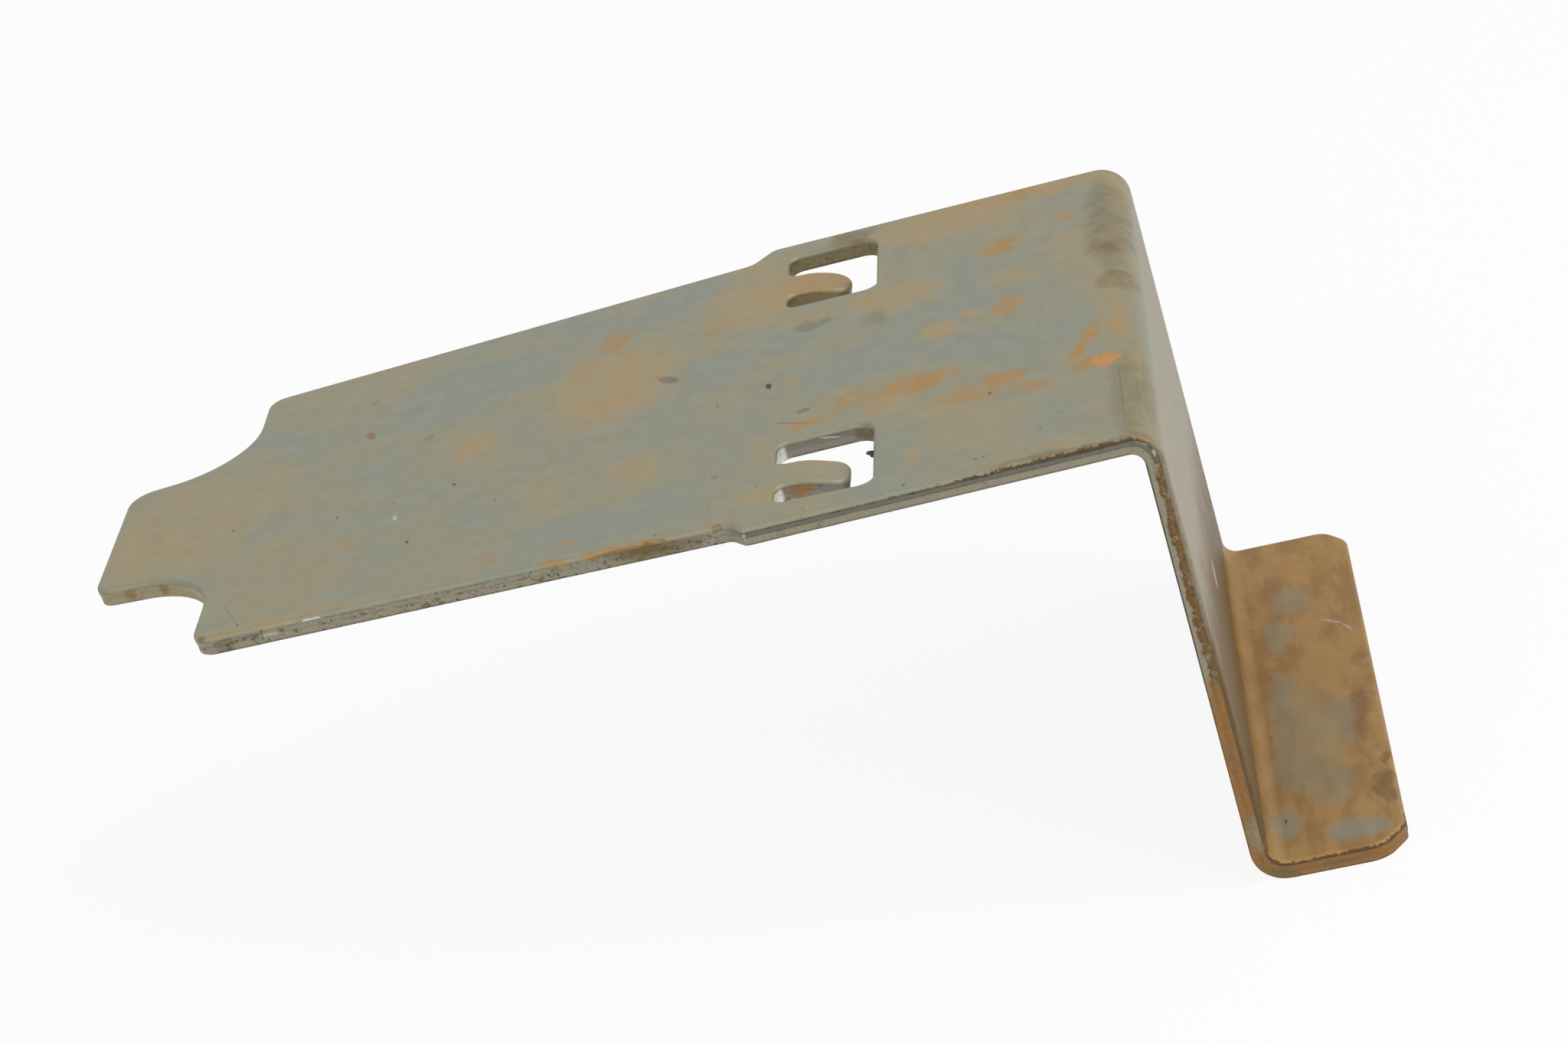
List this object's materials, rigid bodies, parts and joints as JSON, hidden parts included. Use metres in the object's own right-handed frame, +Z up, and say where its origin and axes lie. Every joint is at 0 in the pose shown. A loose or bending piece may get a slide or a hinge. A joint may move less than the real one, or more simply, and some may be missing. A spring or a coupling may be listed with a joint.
{
  "type": "stamped metal bracket",
  "caption": "Folded sheet steel bracket with a flat tongued plate, lanced spring tabs in square windows, an upright web and a short flanged foot.",
  "frame": {"origin": "middle of the foot's flat underside", "axes": "+X from the tongue towards the foot, +Y across the width from the near side to the far side, +Z up out of the foot"},
  "size_m": [0.0645, 0.035, 0.0264],
  "materials": {
    "zinc_steel": "dull zinc plate, stained tan in patches, bare sheared edges"
  },
  "bodies": {
    "root": {"bracket": "zinc_steel"}
  },
  "joints": []
}
